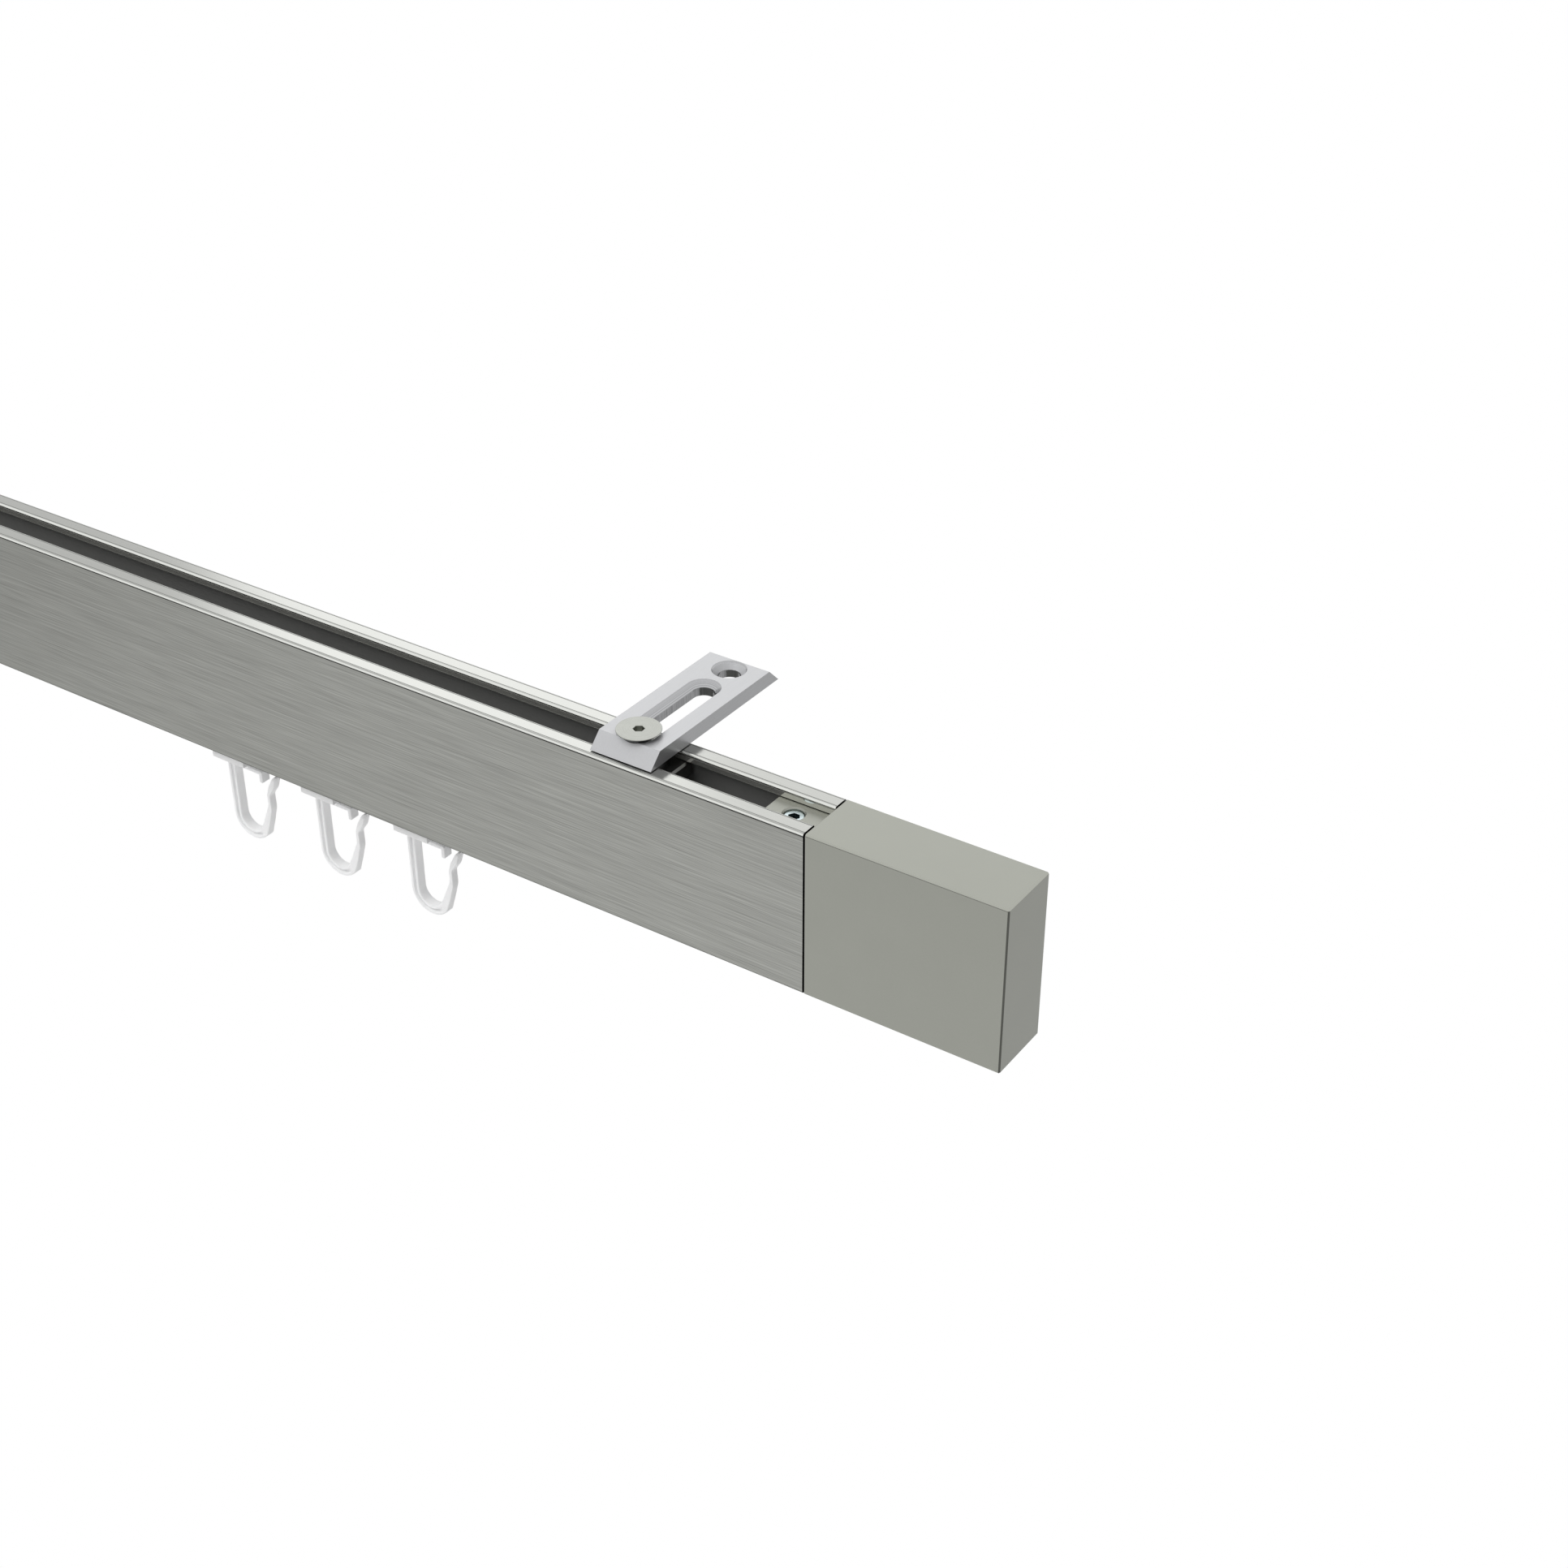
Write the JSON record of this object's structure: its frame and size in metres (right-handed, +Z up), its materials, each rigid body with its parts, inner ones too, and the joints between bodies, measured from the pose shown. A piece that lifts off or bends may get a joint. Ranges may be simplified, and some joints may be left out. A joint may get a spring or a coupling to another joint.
{
  "type": "curtain rod",
  "caption": "Rectangular curtain rod with solid end caps, slotted ceiling plates clamped in its top T-slot, and runners with snap-arm pleat hooks hanging in the track beneath.",
  "frame": {"origin": "midway between the two ceiling screw holes, in the plane of the plates' undersides, where the heads of the ceiling screws bear; the ceiling is 3 mm above it", "axes": "+X along the rod, +Y from the rod towards the ceiling screw holes, away from the room, +Z up"},
  "size_m": [0.6826, 0.0423, 0.0634],
  "materials": {
    "brushed_profile": "anodised steel grey, brushed along the rod",
    "satin_metal": "satin steel grey, finely matt",
    "plate_aluminium": "plain matt silver",
    "screw_steel": "zinc plated, turned",
    "grub_steel": "blue zinc plated",
    "nut_steel": "zinc plated",
    "runner_plastic": "white moulded plastic",
    "hook_plastic": "milky translucent moulded plastic"
  },
  "bodies": {
    "rod": {"rod_profile": "brushed_profile", "end_cap_left": "satin_metal", "end_cap_right": "satin_metal", "grub_screw_left": "grub_steel", "grub_screw_right": "grub_steel"},
    "nut_left": {"slide_nut_left": "nut_steel"},
    "screw_left": {"bracket_screw_left": "screw_steel"},
    "plate_left": {"bracket_plate_left": "plate_aluminium"},
    "nut_right": {"slide_nut_right": "nut_steel"},
    "screw_right": {"bracket_screw_right": "screw_steel"},
    "plate_right": {"bracket_plate_right": "plate_aluminium"},
    "runner_1": {"runner_1": "runner_plastic"},
    "hook_1": {"pleat_hook_1": "hook_plastic"},
    "runner_2": {"runner_2": "runner_plastic"},
    "hook_2": {"pleat_hook_2": "hook_plastic"},
    "runner_3": {"runner_3": "runner_plastic"},
    "hook_3": {"pleat_hook_3": "hook_plastic"},
    "runner_4": {"runner_4": "runner_plastic"},
    "hook_4": {"pleat_hook_4": "hook_plastic"},
    "runner_5": {"runner_5": "runner_plastic"},
    "hook_5": {"pleat_hook_5": "hook_plastic"},
    "runner_6": {"runner_6": "runner_plastic"},
    "hook_6": {"pleat_hook_6": "hook_plastic"}
  },
  "joints": [
    {"name": "bracket_slide_left", "type": "slide", "parent": "rod", "child": "nut_left", "axis": [1, 0, 0], "range_m": [-0.0205, 0.222]},
    {"name": "bracket_turn_left", "type": "hinge", "parent": "nut_left", "child": "screw_left", "pos_m": [-0.259, -0.0288, 0], "axis": [0, 0, 1], "continuous": true},
    {"name": "plate_reach_left", "type": "slide", "parent": "screw_left", "child": "plate_left", "axis": [0, 1, 0], "range_m": [-0.02025, 0]},
    {"name": "bracket_slide_right", "type": "slide", "parent": "rod", "child": "nut_right", "axis": [1, 0, 0], "range_m": [-0.222, 0.0205]},
    {"name": "bracket_turn_right", "type": "hinge", "parent": "nut_right", "child": "screw_right", "pos_m": [0.259, -0.0288, 0], "axis": [0, 0, 1], "continuous": true},
    {"name": "plate_reach_right", "type": "slide", "parent": "screw_right", "child": "plate_right", "axis": [0, 1, 0], "range_m": [-0.02025, 0]},
    {"name": "runner_slide_1", "type": "slide", "parent": "rod", "child": "runner_1", "axis": [1, 0, 0], "range_m": [-0.008, 0.09]},
    {"name": "hook_swing_1", "type": "hinge", "parent": "runner_1", "child": "hook_1", "pos_m": [0.20383, -0.0288, -0.03875], "axis": [1, 0, 0], "range_deg": [-75, 75]},
    {"name": "runner_slide_2", "type": "slide", "parent": "rod", "child": "runner_2", "axis": [1, 0, 0], "range_m": [-0.008, 0.008]},
    {"name": "hook_swing_2", "type": "hinge", "parent": "runner_2", "child": "hook_2", "pos_m": [0.17815, -0.0288, -0.03875], "axis": [1, 0, 0], "range_deg": [-75, 75]},
    {"name": "runner_slide_3", "type": "slide", "parent": "rod", "child": "runner_3", "axis": [1, 0, 0], "range_m": [-0.1415, 0.008]},
    {"name": "hook_swing_3", "type": "hinge", "parent": "runner_3", "child": "hook_3", "pos_m": [0.15247, -0.0288, -0.03875], "axis": [1, 0, 0], "range_deg": [-75, 75]},
    {"name": "runner_slide_4", "type": "slide", "parent": "rod", "child": "runner_4", "axis": [1, 0, 0], "range_m": [-0.008, 0.139]},
    {"name": "hook_swing_4", "type": "hinge", "parent": "runner_4", "child": "hook_4", "pos_m": [-0.15247, -0.0288, -0.03875], "axis": [1, 0, 0], "range_deg": [-75, 75]},
    {"name": "runner_slide_5", "type": "slide", "parent": "rod", "child": "runner_5", "axis": [1, 0, 0], "range_m": [-0.008, 0.008]},
    {"name": "hook_swing_5", "type": "hinge", "parent": "runner_5", "child": "hook_5", "pos_m": [-0.17815, -0.0288, -0.03875], "axis": [1, 0, 0], "range_deg": [-75, 75]},
    {"name": "runner_slide_6", "type": "slide", "parent": "rod", "child": "runner_6", "axis": [1, 0, 0], "range_m": [-0.09, 0.008]},
    {"name": "hook_swing_6", "type": "hinge", "parent": "runner_6", "child": "hook_6", "pos_m": [-0.20383, -0.0288, -0.03875], "axis": [1, 0, 0], "range_deg": [-75, 75]}
  ]
}
